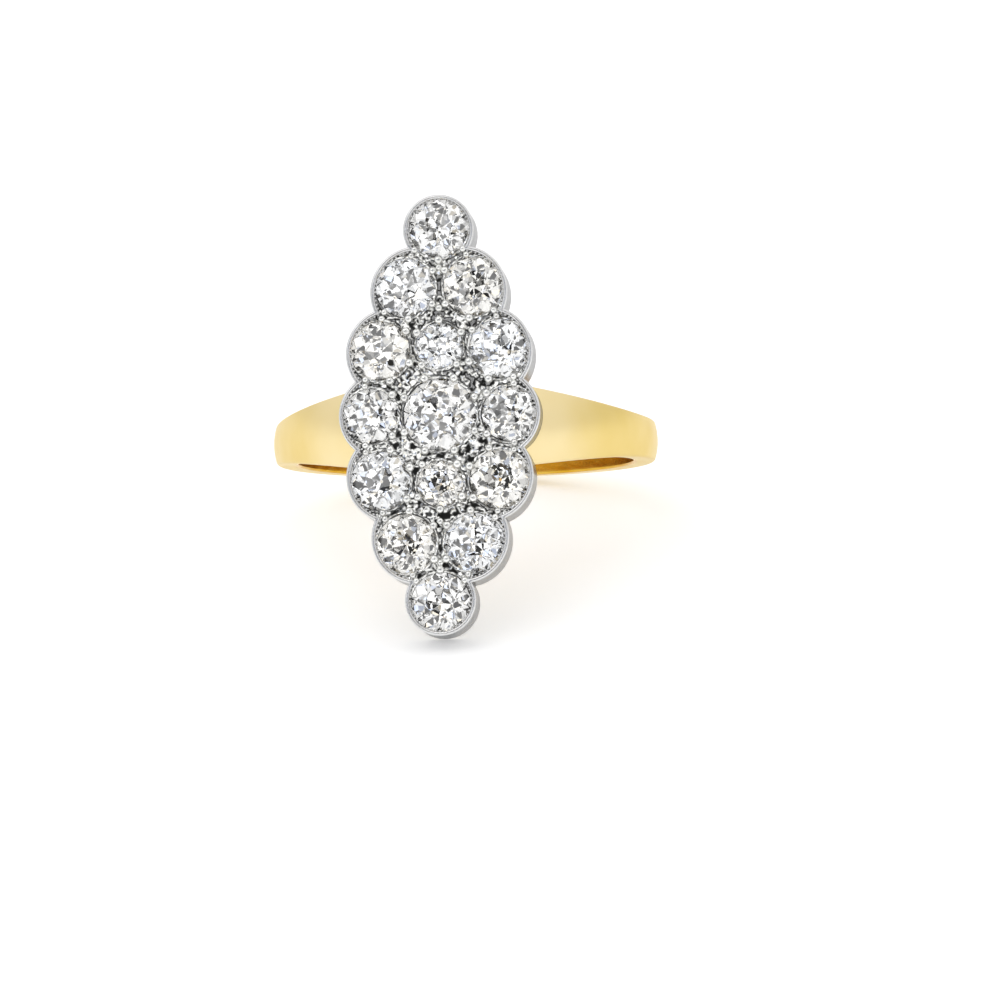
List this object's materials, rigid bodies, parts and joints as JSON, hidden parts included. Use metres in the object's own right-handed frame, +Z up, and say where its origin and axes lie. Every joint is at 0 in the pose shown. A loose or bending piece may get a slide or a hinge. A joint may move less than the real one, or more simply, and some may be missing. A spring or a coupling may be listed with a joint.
{
  "type": "navette ring",
  "caption": "Finger ring with a long pointed cluster of round cut stones in a scalloped white metal head, on a plain yellow gold band with widening shoulders.",
  "frame": {"origin": "the middle of the ring's box on the floor, as the ring rests on the lower tip of its head and the back of its band", "axes": "+X to the right across the ring as the stones are faced, +Y from the head to the back of the band, +Z up from the floor"},
  "size_m": [0.0194, 0.0244, 0.0201],
  "materials": {
    "yellow_gold": "polished yellow gold with fine wear",
    "white_metal": "polished white metal, bright cut between the stones",
    "stone": "colourless old brilliant cut, polished facets"
  },
  "bodies": {
    "root": {"band": "yellow_gold", "setting": "white_metal", "stone_centre": "stone", "stone_inner_upper": "stone", "stone_inner_lower": "stone", "stone_outer_01": "stone", "stone_outer_02": "stone", "stone_outer_03": "stone", "stone_outer_04": "stone", "stone_outer_05": "stone", "stone_outer_06": "stone", "stone_outer_07": "stone", "stone_outer_08": "stone", "stone_outer_09": "stone", "stone_outer_10": "stone", "stone_outer_11": "stone", "stone_outer_12": "stone"}
  },
  "joints": []
}
